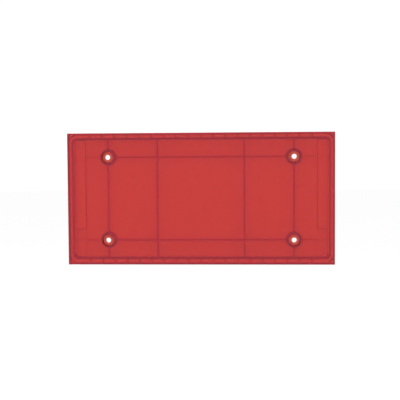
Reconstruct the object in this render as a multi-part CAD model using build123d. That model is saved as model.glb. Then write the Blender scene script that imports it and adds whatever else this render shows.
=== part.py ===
"""Surface-mounted horn strobe whose whole front is one translucent red cover.

Frame: the wall is the plane y = 0, +Z is up and the front faces -Y, so a distance from the wall is -y.
The origin is the middle of the rear face. Every length is in millimetres.
A cover with its seal, light guide and reflector sheet closes a shallow base, which holds two LED bars,
a piezo horn and the control board. Four wall screws pass through cups in the cover and pockets in the base.
"""

from build123d import *
import math
import os

# ---- driving dimensions -------------------------------------------------------------------------
WIDTH = 215.9
HEIGHT = 106.7
DEPTH = 30.0
SCREW_X = 75.6  # half the spacing of the four wall screws, across
SCREW_Z = 33.8  # and up
TOOTH_PITCH = 10.0
TEETH_PER_SIDE = 19

# ---- distances from the wall --------------------------------------------------------------------
SEAL_DEPTH = 1.0  # recess in the back that holds the foam frame and the grommet's flange
FLOOR = 3.5  # inside face of the base's back wall
SHOULDER = 18.7  # front edge of the base's outer wall
TONGUE_END = 21.5
SKIRT_END = 19.0
INNER_WALL_END = 24.5
PLATE_BACK = 27.5
SHEET_BACK = 17.9
SHEET_FRONT = 18.3
GUIDE_BACK = 18.4
GUIDE_FRONT = 21.4
BOARD_BACK = 7.0
BOARD_FRONT = 8.6

# ---- cover --------------------------------------------------------------------------------------
SKIRT = 1.3  # thickness of the outer wall
GROOVE = 2.7  # width of the seal groove along the two long sides
END_GROOVE = 1.9  # and along the two ends
INNER_WALL = 0.9
GROOVE_RADIUS = 6.2  # outer corner radius of the groove
CORNER_WALL = 0.9  # wall between the groove's round corner and the pocket behind the square one
TOOTH = 1.2
TOOTH_SLOT = 1.6  # width of the seal's slot for each tooth
TOOTH_HEIGHT = 4.5
RIB = 1.2
RIB_HEIGHT = 6.0
SIDE_RIB_HEIGHT = 3.0
END_RIB_HEIGHT = 1.2
CENTRE_RIB_X = 35.4
END_RIB_X = 94.2
END_RIB = 0.6
CUP_RADIUS = 4.3  # takes a screw head
CUP_WALL = 2.1
CUP_END = 17.0
CUP_FLOOR_BACK = 23.6
CUP_FLOOR = 26.0
CUP_RECESS = 5.2  # radius of the recess behind the floor
SCREW_HOLE = 2.0
EDGE_ROUND = 0.2
CORNER_ROUND = 0.4

# ---- base ---------------------------------------------------------------------------------------
BASE_INSET = 0.8  # how far the base stands in from the cover's outline
BASE_WALL = 2.6
BASE_CORNER = 2.5  # outer corner radius
BASE_RADIUS = 6.8  # inner corner radius plus the wall
TONGUE = 1.6
POCKET_RADIUS = 8.5
POCKET_WALL = 1.5
SEAT_FRONT = 15.6
SEAT_BACK = 13.1
SEAT_HOLE = 5.0
SCREW_SEAL = 7.6  # radius of the flange of the seal under each cup
SEAL_BORE_FRONT = 2.8
SEAL_BORE_BACK = 4.4
LOUVRES = 17
LOUVRE_WIDTH = 6.0
LOUVRE_BACK = 8.0
LOUVRE_FRONT = 13.0
POST_RADIUS = 3.5
POST_HOLE = 1.45
SCREW_SHANK = 1.4
SCREW_HEAD = 2.75
SCREW_HEAD_HEIGHT = 2.0
GROMMET_X = 80.0
GROMMET_HOLE = 10.0
GROMMET_BORE = 7.0
GROMMET_FLANGE = 12.5
SEAL_OUTER = 2.5  # the foam frame's distances in from the outline
SEAL_INNER = 8.5
SEAL_OUTER_RADIUS = 4.3
SEAL_INNER_RADIUS = 2.0
HOLE_BOTTOM = 2.0  # floor of the blind screw holes, from the wall
HORN_POST = 3.0

# ---- light guide and LED bars -------------------------------------------------------------------
GUIDE_X = 94.2
GUIDE_Z = 47.8
EAR_X = 102.3
EAR_TOP = -25.5
TAPE = 1.2
CARRIER_WALL_X = 98.2
CARRIER_WALL = 2.0
CARRIER_BOTTOM = -24.9
CARRIER_TOP = 47.3
LIP = 1.0
LED_COUNT = 8
LED_PITCH = 8.0
LED_MIDDLE_Z = 11.5

# ---- horn ---------------------------------------------------------------------------------------
HORN_X = -42.0
HORN_RADIUS = 23.0
HORN_WALL = 1.5
HORN_FRONT = 15.5
HORN_LEDGE = 9.0
DISC_RADIUS = 19.0
DISC_THICKNESS = 0.3
EAR_Z = 27.5
HORN_EAR_FRONT = 8.5

# ---- control board ------------------------------------------------------------------------------
BOARD_LEFT = -12.0
BOARD_RIGHT = 64.0
BOARD_Z = 45.0
TERMINAL_X = 57.5
TERMINAL_PITCH = 7.0
TERMINALS = 4
TERMINAL_FRONT = 17.2
CANDELA_X = 30.0
CANDELA_Z = -35.0
CANDELA_TRAVEL = 7.5
TONE_X = 8.0
TONE_Z = -35.0
TONE_ROTOR = 3.6

# ---- leads --------------------------------------------------------------------------------------
PLUGS = ((-8.0, 0.0, -1), (-8.0, 32.0, -1), (60.5, 19.5, 1))  # x, z and the side that the leads leave
LEAD_RADIUS = 0.65
LEAD_OFFSET = 1.6
LEAD_START = 13.0  # the sockets' distance from the wall
LEFT_LEAD_Z = 13.5


# ---- helpers ------------------------------------------------------------------------------------
def at(distance):
    """The plane at that distance from the wall, x to the right and z up, facing the viewer."""
    return Plane.XZ.offset(distance)


def panel(outline, back, front, x=0.0, z=0.0):
    """The outline, moved to x, z and extruded from the distance back to the distance front."""
    return extrude(at(back) * (Pos(x, z) * outline), amount=front - back)


def block(x0, x1, z0, z1, back, front):
    """A box between those limits."""
    return panel(Rectangle(x1 - x0, z1 - z0), back, front, (x0 + x1) / 2, (z0 + z1) / 2)


def rod(x, z, radius, back, front):
    """A round bar that stands off the wall."""
    return panel(Circle(radius), back, front, x, z)


def ring(x, z, outer, inner, back, front):
    """A round tube that stands off the wall."""
    return rod(x, z, outer, back, front) - rod(x, z, inner, back, front)


def frame_outline(inset, radius=0.0):
    """The cover's outline drawn in by inset, with round corners if radius is given."""
    size = (WIDTH - 2 * inset, HEIGHT - 2 * inset)
    return RectangleRounded(*size, radius) if radius else Rectangle(*size)


def groove_inner(inset, radius):
    """The groove's inner outline, drawn in by inset: the groove is narrower along the two ends."""
    along, ends = SKIRT + GROOVE + inset, SKIRT + END_GROOVE + inset
    return RectangleRounded(WIDTH - 2 * ends, HEIGHT - 2 * along, radius)


def four_screws():
    """The places of the four wall screws."""
    return [(x, z) for x in (-SCREW_X, SCREW_X) for z in (-SCREW_Z, SCREW_Z)]


def wire(points, radii, radius):
    """A round wire along straight runs joined by arcs; points are (x, distance from the wall, z)."""
    corners = [Vector(x, -distance, z) for x, distance, z in points]
    path = FilletPolyline(*corners, radius=radii)
    start = Plane(origin=path @ 0, z_dir=path % 0)
    return sweep(start * Circle(radius), path=path)


def bend_radii(points):
    """The largest arcs that the runs allow: 0.45 of the shorter run over the tangent of half the turn."""
    corners = [Vector(x, -distance, z) for x, distance, z in points]
    radii = []
    for before, corner, after in zip(corners, corners[1:], corners[2:]):
        run_in, run_out = corner - before, after - corner
        turn = math.radians(run_in.get_angle(run_out))
        radii.append(0.45 * min(run_in.length, run_out.length) / math.tan(turn / 2))
    return radii


# ---- cover body ---------------------------------------------------------------------------------
def tooth_places():
    """The middles of the teeth that bridge the seal groove along the two long sides."""
    z = HEIGHT / 2 - SKIRT - GROOVE / 2
    first = -(TEETH_PER_SIDE - 1) / 2 * TOOTH_PITCH
    return [(first + number * TOOTH_PITCH, side * z) for number in range(TEETH_PER_SIDE) for side in (-1, 1)]


def tooth(x, z, width, back):
    """A block across the groove, from the distance back to the plate."""
    half = GROOVE / 2 + 0.1
    return block(x - width / 2, x + width / 2, z - half, z + half, back, PLATE_BACK)


def make_front_cover():
    """The translucent moulding: plate, skirt, seal groove with teeth, inner wall, ribs and screw cups."""
    groove_inset = SKIRT
    wall_radius = GROOVE_RADIUS - GROOVE
    plate = panel(frame_outline(0), PLATE_BACK, DEPTH)
    plate = fillet(plate.edges().filter_by(Axis.Y), CORNER_ROUND)
    plate = fillet(plate.faces().sort_by(Axis.Y)[0].edges(), EDGE_ROUND)
    skirt_outline = frame_outline(0, CORNER_ROUND) - frame_outline(groove_inset, GROOVE_RADIUS)
    skirt = panel(skirt_outline, SKIRT_END, PLATE_BACK)
    pocket_outline = frame_outline(SKIRT) - frame_outline(groove_inset - CORNER_WALL, GROOVE_RADIUS + CORNER_WALL)
    skirt -= panel(pocket_outline, SKIRT_END, PLATE_BACK)
    inner = panel(
        groove_inner(0, wall_radius) - groove_inner(INNER_WALL, wall_radius - INNER_WALL),
        INNER_WALL_END,
        PLATE_BACK,
    )
    cover = plate + skirt + inner
    for x, z in tooth_places():
        cover += tooth(x, z, TOOTH, PLATE_BACK - TOOTH_HEIGHT)
    # upright ribs
    rib_z = HEIGHT / 2 - SKIRT - GROOVE - INNER_WALL / 2
    uprights = ((SCREW_X, RIB, RIB_HEIGHT), (CENTRE_RIB_X, RIB, RIB_HEIGHT), (END_RIB_X, END_RIB, END_RIB_HEIGHT))
    for rib_x, thickness, height in uprights:
        for x in (-rib_x, rib_x):
            cover += block(x - thickness / 2, x + thickness / 2, -rib_z, rib_z, PLATE_BACK - height, PLATE_BACK)
    # level ribs, lower towards the ends so that they clear the LED bars
    end_x = WIDTH / 2 - SKIRT - END_GROOVE - INNER_WALL / 2
    for z in (-SCREW_Z, SCREW_Z):
        for reach, height in ((end_x, END_RIB_HEIGHT), (END_RIB_X, SIDE_RIB_HEIGHT), (SCREW_X, RIB_HEIGHT)):
            cover += block(-reach, reach, z - RIB / 2, z + RIB / 2, PLATE_BACK - height, PLATE_BACK)
    # screw cups, open to the front
    for x, z in four_screws():
        cover += rod(x, z, CUP_RADIUS + CUP_WALL, CUP_END, PLATE_BACK)
        cover -= rod(x, z, CUP_RADIUS, CUP_FLOOR, DEPTH)
        cover -= rod(x, z, CUP_RECESS, CUP_END, CUP_FLOOR_BACK)
        cover -= rod(x, z, SCREW_HOLE, CUP_END, DEPTH)
    return cover


def make_cover_gasket():
    """The seal that fills the groove, slotted for the teeth, which keep it from creeping."""
    play = 0.2
    outer = frame_outline(SKIRT + play, GROOVE_RADIUS - play)
    inner = groove_inner(-play, GROOVE_RADIUS - GROOVE + play)
    seal = panel(outer - inner, TONGUE_END + play, PLATE_BACK - play)
    seal = chamfer(seal.faces().sort_by(Axis.Y)[-1].edges(), 0.4)
    for x, z in tooth_places():
        seal -= tooth(x, z, TOOTH_SLOT, PLATE_BACK - TOOTH_HEIGHT - play)
    return seal


def guide_outline():
    """The light guide's outline: full height to GUIDE_X, and two ears below the LED bars."""
    outline = Rectangle(2 * GUIDE_X, 2 * GUIDE_Z)
    ear_height = EAR_TOP + GUIDE_Z
    ears = Rectangle(2 * EAR_X, ear_height)
    ears = fillet(ears.vertices().group_by(Axis.Y)[0], 2.0)
    outline += Pos(0, -GUIDE_Z + ear_height / 2) * ears
    for x, z in four_screws():
        outline -= Pos(x, z) * Circle(CUP_RADIUS + CUP_WALL + 0.3)
    return outline


def make_edge_tapes():
    """Two tapes on the guide's front face, along the ends that take the light in."""
    inner = GUIDE_X - TAPE
    strip = (EAR_TOP, GUIDE_Z - 0.1, GUIDE_FRONT, GUIDE_FRONT + 0.1)
    return [block(-GUIDE_X, -inner, *strip), block(inner, GUIDE_X, *strip)]


# ---- base body ----------------------------------------------------------------------------------
def foam_frame(play):
    """The foam frame's shape, drawn in by play on every side."""
    outer = frame_outline(SEAL_OUTER + play, SEAL_OUTER_RADIUS - play)
    inner = frame_outline(SEAL_INNER - play, SEAL_INNER_RADIUS + play)
    return panel(outer - inner, 0, SEAL_DEPTH)


def make_rear_base():
    """The moulded base: tray, tongue, screw pockets, louvres, posts, bar slots and cable hole."""
    outer = frame_outline(BASE_INSET, BASE_CORNER)
    inner_inset = BASE_INSET + BASE_WALL
    inner = frame_outline(inner_inset, BASE_RADIUS - BASE_WALL)
    tongue = frame_outline(inner_inset - TONGUE, BASE_RADIUS - BASE_WALL + TONGUE)
    floor = panel(outer, 0, FLOOR)
    floor = chamfer(floor.faces().sort_by(Axis.Y)[-1].outer_wire().edges(), 0.8)
    floor -= foam_frame(0)
    base = floor + panel(outer - inner, FLOOR, SHOULDER)
    base += panel(tongue - inner, SHOULDER, TONGUE_END)
    for x, z in four_screws():
        base += rod(x, z, POCKET_RADIUS + POCKET_WALL, FLOOR, SEAT_FRONT)
        base -= rod(x, z, POCKET_RADIUS, 0, SEAT_BACK)
        base -= rod(x, z, SEAT_HOLE, SEAT_BACK, SEAT_FRONT)
    # sound louvres in the top and bottom walls
    for number in range(LOUVRES):
        x = (number - (LOUVRES - 1) / 2) * TOOTH_PITCH
        half = LOUVRE_WIDTH / 2
        base -= block(x - half, x + half, -HEIGHT / 2, HEIGHT / 2, LOUVRE_BACK, LOUVRE_FRONT) & (
            panel(outer - inner, FLOOR, SHOULDER)
        )
    for x, z in board_screw_places():
        base += rod(x, z, POST_RADIUS, FLOOR, BOARD_BACK)
        base -= rod(x, z, POST_HOLE, HOLE_BOTTOM, BOARD_BACK)
    for x, z in horn_screw_places():
        base += rod(x, z, POST_RADIUS, FLOOR, FLOOR + HORN_POST)
        base -= rod(x, z, POST_HOLE, HOLE_BOTTOM, FLOOR + HORN_POST)
    # slots that grip the feet of the two LED carriers
    play = 0.1
    for side in (-1, 1):
        for near in (CARRIER_WALL_X - play - 1.5, CARRIER_WALL_X + CARRIER_WALL + play):
            x0, x1 = sorted((side * near, side * (near + 1.5)))
            base += block(x0, x1, -20.0, 43.0, FLOOR, FLOOR + 5.5)
    base -= rod(GROMMET_X, 0, GROMMET_HOLE, 0, FLOOR)
    return base - rod(GROMMET_X, 0, GROMMET_FLANGE + 0.1, 0, SEAL_DEPTH)


def make_wall_gasket():
    """The foam frame between the base and the wall."""
    return foam_frame(0.05)


def make_screw_seals():
    """The four silicone seals, each a flange under a cup's end and a plug in the recess behind its floor.

    The bore widens towards the wall, so that a screw finds it.
    """
    seals = []
    front = CUP_FLOOR_BACK - 0.1
    for x, z in four_screws():
        seal = rod(x, z, SCREW_SEAL, SEAT_FRONT, CUP_END - 0.1)
        seal += rod(x, z, CUP_RECESS - 0.2, CUP_END - 0.1, front)
        wide = at(SEAT_FRONT) * (Pos(x, z) * Circle(SEAL_BORE_BACK))
        narrow = at(front) * (Pos(x, z) * Circle(SEAL_BORE_FRONT))
        seals.append(seal - loft([wide, narrow]))
    return seals


def make_cable_grommet():
    """The rubber grommet in the cable hole."""
    grommet = rod(GROMMET_X, 0, GROMMET_FLANGE, 0.2, SEAL_DEPTH)
    grommet += rod(GROMMET_X, 0, GROMMET_HOLE - 0.1, SEAL_DEPTH, FLOOR)
    grommet += rod(GROMMET_X, 0, GROMMET_FLANGE, FLOOR, FLOOR + 1.5)
    grommet = fillet(grommet.faces().sort_by(Axis.Y)[0].edges(), 0.6)
    return grommet - rod(GROMMET_X, 0, GROMMET_BORE, 0.2, FLOOR + 1.5)


def mirrored(shape, side):
    """The shape as drawn for the right side, or its mirror image for side -1."""
    return shape if side > 0 else mirror(shape, Plane.YZ)


def make_led_carrier(side):
    """A white upright that holds one LED board, with a lip over the LEDs."""
    wall_x = CARRIER_WALL_X
    carrier = block(wall_x, wall_x + CARRIER_WALL, -19.9, 42.9, FLOOR + 0.1, GUIDE_FRONT)
    carrier += block(wall_x, wall_x + CARRIER_WALL, CARRIER_BOTTOM, CARRIER_TOP, 10.0, GUIDE_FRONT)
    carrier += block(GUIDE_X + 0.4, EAR_X, CARRIER_BOTTOM, CARRIER_TOP, GUIDE_FRONT, GUIDE_FRONT + LIP)
    return mirrored(carrier, side)


def make_led_board(side):
    """The strip board on the carrier's inner face."""
    return mirrored(block(CARRIER_WALL_X - 1.0, CARRIER_WALL_X, -23.0, 45.0, 12.5, GUIDE_FRONT - 0.1), side)


def make_led_chips(side):
    """The LEDs, facing the end of the light guide."""
    middle = (GUIDE_BACK + GUIDE_FRONT) / 2
    chips = []
    for number in range(LED_COUNT):
        z = LED_MIDDLE_Z + (number - (LED_COUNT - 1) / 2) * LED_PITCH
        chip = block(CARRIER_WALL_X - 2.8, CARRIER_WALL_X - 1.0, z - 2.5, z + 2.5, middle - 1.3, middle + 1.3)
        chips.append(mirrored(chip, side))
    return chips


def board_screw_places():
    """The places of the four screws that hold the control board."""
    return [(x, z) for x in (BOARD_LEFT + 4.5, BOARD_RIGHT - 4.5) for z in (-40.5, 40.5)]


def horn_screw_places():
    """The places of the two screws that hold the horn."""
    return [(HORN_X, -EAR_Z), (HORN_X, EAR_Z)]


def pan_screw(x, z, seat):
    """A pan-head screw with a cross recess, its head on the face at the distance seat."""
    head = rod(x, z, SCREW_HEAD, seat, seat + SCREW_HEAD_HEIGHT)
    head = fillet(head.faces().sort_by(Axis.Y)[0].edges(), 1.2)
    top = seat + SCREW_HEAD_HEIGHT
    for half_x, half_z in ((1.6, 0.35), (0.35, 1.6)):
        head -= block(x - half_x, x + half_x, z - half_z, z + half_z, top - 1.1, top)
    return head + rod(x, z, SCREW_SHANK, HOLE_BOTTOM + 0.3, seat)


def make_main_board():
    """The control board, with holes for its screws."""
    board = block(BOARD_LEFT, BOARD_RIGHT, -BOARD_Z, BOARD_Z, BOARD_BACK, BOARD_FRONT)
    board = fillet(board.edges().filter_by(Axis.Y), 2.0)
    for x, z in board_screw_places():
        board -= rod(x, z, 1.7, BOARD_BACK, BOARD_FRONT)
    return board


def terminal_places():
    """The heights of the terminals."""
    return [(number - (TERMINALS - 1) / 2) * TERMINAL_PITCH for number in range(TERMINALS)]


def make_terminal_block():
    """The block's body: a screw well and a wire mouth, open to the right, for each terminal."""
    half_z = TERMINALS * TERMINAL_PITCH / 2
    body = block(TERMINAL_X - 5.5, TERMINAL_X + 5.5, -half_z, half_z, BOARD_FRONT, TERMINAL_FRONT)
    body = chamfer(body.faces().sort_by(Axis.Y)[0].edges().filter_by(Axis.Z), 1.5)
    for z in terminal_places():
        body -= rod(TERMINAL_X, z, 2.4, 14.5, TERMINAL_FRONT)
        body -= block(TERMINAL_X - 2.8, TERMINAL_X + 2.8, z - 2.6, z + 2.6, BOARD_FRONT + 0.8, 14.5)
        body -= block(TERMINAL_X + 2.8, TERMINAL_X + 5.5, z - 2.1, z + 2.1, BOARD_FRONT + 0.8, 13.2)
    return body


def make_terminal_screws():
    """The clamp screws, with slotted heads."""
    screws = []
    for z in terminal_places():
        screw = rod(TERMINAL_X, z, 2.15, 14.8, 16.6) + rod(TERMINAL_X, z, 1.25, 12.6, 14.8)
        screw -= block(TERMINAL_X - 2.15, TERMINAL_X + 2.15, z - 0.3, z + 0.3, 15.7, 16.6)
        screws.append(screw)
    return screws


def make_terminal_clamps():
    """The brass cages that the screws draw up on the wires."""
    clamps = []
    for z in terminal_places():
        cage = block(TERMINAL_X - 2.6, TERMINAL_X + 2.6, z - 2.4, z + 2.4, BOARD_FRONT + 1.0, 14.3)
        cage -= block(TERMINAL_X - 2.6, TERMINAL_X + 2.6, z - 1.7, z + 1.7, BOARD_FRONT + 1.8, 12.5)
        cage -= rod(TERMINAL_X, z, 1.3, 12.4, 14.3)
        clamps.append(cage)
    return clamps


def make_storage_capacitors():
    """Two round capacitors that lie on the board and feed each flash."""
    cans = []
    for z in (33.5, 23.5):
        can = extrude(Plane.YZ.offset(3.0) * (Pos(-(BOARD_FRONT + 4.2), z) * Circle(4.0)), amount=20.0)
        cans.append(fillet(can.edges().filter_by(GeomType.CIRCLE), 0.5))
    return cans


def make_power_inductor():
    """The shielded inductor of the LED supply."""
    core = panel(RectangleRounded(12.0, 12.0, 2.5), BOARD_FRONT, 15.0, 40.0, 28.0)
    return core - ring(40.0, 28.0, 4.6, 3.8, 14.2, 15.0)


def make_flat_parts():
    """The moulded bodies of the chip, the bridge rectifier and the two power transistors."""
    return {
        "controller_chip": block(4.0, 14.0, -9.0, 1.0, BOARD_FRONT + 0.1, BOARD_FRONT + 1.5),
        "bridge_rectifier": block(34.0, 43.0, -4.0, 3.0, BOARD_FRONT + 0.1, BOARD_FRONT + 2.6),
        "power_transistors": [
            block(x, x + 6.5, 10.0, 16.0, BOARD_FRONT + 0.1, BOARD_FRONT + 2.4) for x in (22.0, 32.0)
        ],
    }


def make_small_parts():
    """The small chip resistors and capacitors, in three rows."""
    rows = ((-6.0, 14.0, 6, 4.0, 3.2), (22.0, -14.0, 5, 4.5, 3.2), (-4.0, -20.0, 9, 5.0, 2.0))
    parts = []
    for x, z, count, step, length in rows:
        for number in range(count):
            middle = x + number * step
            parts.append(
                block(middle - 0.8, middle + 0.8, z - length / 2, z + length / 2, BOARD_FRONT, BOARD_FRONT + 0.9)
            )
    return parts


def make_connectors():
    """The three plugs, each with two round sockets that take its leads."""
    housings = []
    for x, z, side in PLUGS:
        housing = block(x - 2.5, x + 2.5, z - 4.0, z + 4.0, BOARD_FRONT, BOARD_FRONT + 6.0)
        for offset in (-LEAD_OFFSET, LEAD_OFFSET):
            mouth = Plane.YZ.offset(x + side * 1.2) * Pos(-LEAD_START, z + offset)
            housing -= extrude(mouth * Circle(LEAD_RADIUS + 0.1), amount=side * 1.4)
        housings.append(housing)
    return housings


def make_candela_body():
    """The flash-power switch: a body with a slot that guides its slider."""
    body = block(CANDELA_X - 9.0, CANDELA_X + 9.0, CANDELA_Z - 4.0, CANDELA_Z + 4.0, BOARD_FRONT, 13.6)
    half = CANDELA_TRAVEL / 2 + 1.6
    body -= block(CANDELA_X - half - 0.6, CANDELA_X + half + 0.6, CANDELA_Z - 2.7, CANDELA_Z + 2.7, 10.2, 12.6)
    body -= block(CANDELA_X - half, CANDELA_X + half, CANDELA_Z - 1.7, CANDELA_Z + 1.7, 12.6, 13.6)
    return body


def make_candela_slider():
    """The slider, at the low end of its travel."""
    x = CANDELA_X - CANDELA_TRAVEL / 2
    slider = block(x - 2.0, x + 2.0, CANDELA_Z - 2.5, CANDELA_Z + 2.5, 10.4, 12.4)
    knob = block(x - 1.4, x + 1.4, CANDELA_Z - 1.5, CANDELA_Z + 1.5, 12.4, 16.2)
    for groove_x in (-0.7, 0.7):
        knob -= block(x + groove_x - 0.2, x + groove_x + 0.2, CANDELA_Z - 1.5, CANDELA_Z + 1.5, 15.9, 16.2)
    return slider + knob


def make_tone_body():
    """The tone switch: a square body with a round well."""
    body = block(TONE_X - 5.0, TONE_X + 5.0, TONE_Z - 5.0, TONE_Z + 5.0, BOARD_FRONT, 13.6)
    return body - rod(TONE_X, TONE_Z, TONE_ROTOR, 10.6, 13.6)


def make_tone_rotor():
    """The rotor, with a screwdriver slot and an arrow notch at its rim."""
    rotor = rod(TONE_X, TONE_Z, TONE_ROTOR - 0.05, 10.8, 14.0)
    rotor -= block(TONE_X - 0.45, TONE_X + 0.45, TONE_Z - 2.6, TONE_Z + 2.6, 13.0, 14.0)
    notch = Polygon((-0.9, 0), (0.9, 0), (0, 1.5), align=None)
    return rotor - panel(notch, 13.3, 14.0, TONE_X, TONE_Z + 1.9)


def make_horn_housing():
    """The horn's cup, with a ledge for the disc and two ears."""
    floor = FLOOR + HORN_WALL
    housing = rod(HORN_X, 0, HORN_RADIUS, FLOOR + 0.1, HORN_FRONT)
    for x, z in horn_screw_places():
        near, far = sorted((z, z * 0.75))
        housing += rod(x, z, 4.0, FLOOR + HORN_POST, HORN_EAR_FRONT)
        housing += block(x - 4.0, x + 4.0, near, far, FLOOR + HORN_POST, HORN_EAR_FRONT)
    housing -= rod(HORN_X, 0, HORN_RADIUS - HORN_WALL, HORN_LEDGE, HORN_FRONT)
    housing -= rod(HORN_X, 0, DISC_RADIUS - 1.5, floor, HORN_LEDGE)
    for x, z in horn_screw_places():
        housing -= rod(x, z, 1.7, FLOOR + HORN_POST, HORN_EAR_FRONT)
    slot_x = HORN_X + HORN_RADIUS
    return housing - block(slot_x - 4.5, slot_x, -3.0, 3.0, HORN_LEDGE + 1.2, HORN_FRONT)


def make_horn_lid():
    """The horn's front, with a middle outlet, a ring of outlets and a rim that clamps the disc."""
    outer = HORN_RADIUS - HORN_WALL - 0.1
    lid = rod(HORN_X, 0, outer, HORN_FRONT - 2.0, HORN_FRONT)
    rim_back = HORN_LEDGE + DISC_THICKNESS
    lid += ring(HORN_X, 0, outer, DISC_RADIUS - 1.0, rim_back, HORN_FRONT - 2.0)
    lid -= rod(HORN_X, 0, 3.5, HORN_FRONT - 2.0, HORN_FRONT)
    for number in range(12):
        angle = math.radians(30 * number)
        x, z = HORN_X + 11.5 * math.cos(angle), 11.5 * math.sin(angle)
        lid -= rod(x, z, 1.6, HORN_FRONT - 2.0, HORN_FRONT)
    slot_x = HORN_X + HORN_RADIUS
    return lid - block(slot_x - 6.0, slot_x, -3.0, 3.0, rim_back, HORN_FRONT)


def horn_lead_points(offset, inner_x):
    """The route of one horn lead, from the disc at inner_x to its plug."""
    x, z, side = PLUGS[0]
    return [
        (inner_x, 10.6, offset),
        (inner_x + 4.0, 10.6, offset),
        (x - 7.5, LEAD_START, z + offset),
        (x + side * 1.3, LEAD_START, z + offset),
    ]


def left_lead_points(offset):
    """The route of one lead to the left LED board: above the horn, then down between it and a pocket."""
    x, z, side = PLUGS[1]
    board_x = -(CARRIER_WALL_X - 1.0)
    return [
        (x + side * 1.3, LEAD_START, z + offset),
        (x - 10.0, LEAD_START, z + offset),
        (x - 20.0, 11.0, z + 3.5 + offset),
        (-54.0, 11.0, z + 3.5 + offset),
        (-66.0, 11.0, LEFT_LEAD_Z + offset),
        (-86.0, 15.5, LEFT_LEAD_Z + offset),
        (board_x + 0.2, 15.5, LEFT_LEAD_Z + offset),
    ]


def right_lead_points(offset):
    """The route of one lead to the right LED board: above the cable hole."""
    x, z, side = PLUGS[2]
    board_x = CARRIER_WALL_X - 1.0
    return [
        (x + side * 1.3, LEAD_START, z + offset),
        (x + 10.0, LEAD_START, z + offset),
        (board_x - 12.0, 15.5, z + offset),
        (board_x - 0.2, 15.5, z + offset),
    ]


def lead_routes():
    """The points of every lead, by node."""
    pair = (-LEAD_OFFSET, LEAD_OFFSET)
    return {
        "horn_lead_red": [horn_lead_points(LEAD_OFFSET, HORN_X + 11.0)],
        "horn_lead_black": [horn_lead_points(-LEAD_OFFSET, HORN_X + 15.5)],
        "led_leads_left": [left_lead_points(offset) for offset in pair],
        "led_leads_right": [right_lead_points(offset) for offset in pair],
    }


def make_wires():
    """Every lead inside the case, one solid each."""
    return {
        node: [wire(points, bend_radii(points), LEAD_RADIUS) for points in paths]
        for node, paths in lead_routes().items()
    }


def make_solder_joints():
    """The domes that hold the leads on the disc and on the two LED boards."""
    domes = []
    for offset, x, seat in ((LEAD_OFFSET, HORN_X + 11.0, 0.6), (-LEAD_OFFSET, HORN_X + 15.5, 0.3)):
        foot = HORN_LEDGE + seat
        dome = panel(Circle(1.2), foot, foot + 1.8, x, offset)
        dome = fillet(dome.faces().sort_by(Axis.Y)[0].edges(), 0.9)
        domes.append(dome - extrude(Plane.YZ.offset(x) * (Pos(-10.6, offset) * Circle(LEAD_RADIUS)), amount=3.0))
    for side, z in ((-1, LEFT_LEAD_Z), (1, PLUGS[2][1])):
        for offset in (-LEAD_OFFSET, LEAD_OFFSET):
            face_x = side * (CARRIER_WALL_X - 1.0)
            disc = Plane.YZ.offset(face_x) * (Pos(-15.5, z + offset) * Circle(1.25))
            dome = extrude(disc, amount=-side * 1.4)
            dome = fillet(dome.faces().sort_by(Axis.X)[0 if side > 0 else -1].edges(), 0.7)
            bore = Plane.YZ.offset(face_x - side * 0.2) * (Pos(-15.5, z + offset) * Circle(LEAD_RADIUS))
            domes.append(dome - extrude(bore, amount=-side * 3.0))
    return domes


def make_parts():
    """Every sub-part, by node name."""
    parts = {
        "front_cover": make_front_cover(),
        "cover_gasket": make_cover_gasket(),
        "light_guide": panel(guide_outline(), GUIDE_BACK, GUIDE_FRONT),
        "guide_reflector": panel(guide_outline(), SHEET_BACK, SHEET_FRONT),
        "guide_edge_tapes": make_edge_tapes(),
        "rear_base": make_rear_base(),
        "wall_gasket": make_wall_gasket(),
        "cable_grommet": make_cable_grommet(),
        "screw_seals": make_screw_seals(),
        "main_board": make_main_board(),
        "board_screws": [pan_screw(x, z, BOARD_FRONT) for x, z in board_screw_places()],
        "terminal_block": make_terminal_block(),
        "terminal_screws": make_terminal_screws(),
        "terminal_clamps": make_terminal_clamps(),
        "storage_capacitors": make_storage_capacitors(),
        "power_inductor": make_power_inductor(),
        "small_parts": make_small_parts(),
        "connectors": make_connectors(),
        "candela_body": make_candela_body(),
        "candela_slider": make_candela_slider(),
        "tone_body": make_tone_body(),
        "tone_rotor": make_tone_rotor(),
        "horn_housing": make_horn_housing(),
        "horn_lid": make_horn_lid(),
        "piezo_disc": rod(HORN_X, 0, DISC_RADIUS, HORN_LEDGE, HORN_LEDGE + DISC_THICKNESS),
        "piezo_ceramic": rod(HORN_X, 0, 12.5, HORN_LEDGE + DISC_THICKNESS, HORN_LEDGE + DISC_THICKNESS + 0.3),
        "horn_screws": [pan_screw(x, z, HORN_EAR_FRONT) for x, z in horn_screw_places()],
    }
    for side, name in ((-1, "left"), (1, "right")):
        parts["led_carrier_" + name] = make_led_carrier(side)
        parts["led_board_" + name] = make_led_board(side)
        parts["led_chips_" + name] = make_led_chips(side)
    parts.update(make_flat_parts())
    parts.update(make_wires())
    parts["solder_joints"] = make_solder_joints()
    return parts


def save(node, shape):
    """Writes one sub-part; a list is a group of separate solids."""
    if isinstance(shape, list):
        shape = Compound(children=shape)
    export_step(shape, f"parts/{node}.step")


os.makedirs("parts", exist_ok=True)
for node_name, node_shape in make_parts().items():
    save(node_name, node_shape)
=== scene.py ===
"""Looks of the slim wall-mounted horn strobe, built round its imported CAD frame.

The CAD nodes keep their shapes. This script dresses every one of them, adds the small parts that are too
fine for the CAD model, and sets the floor, the light and the camera. Lengths are in metres, except where a
name ends in _mm.
"""

import logging
import math
import random
from dataclasses import dataclass, fields
from enum import Enum
from typing import ClassVar

import bmesh
import bpy
from mathutils import Euler, Matrix, Vector


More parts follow.
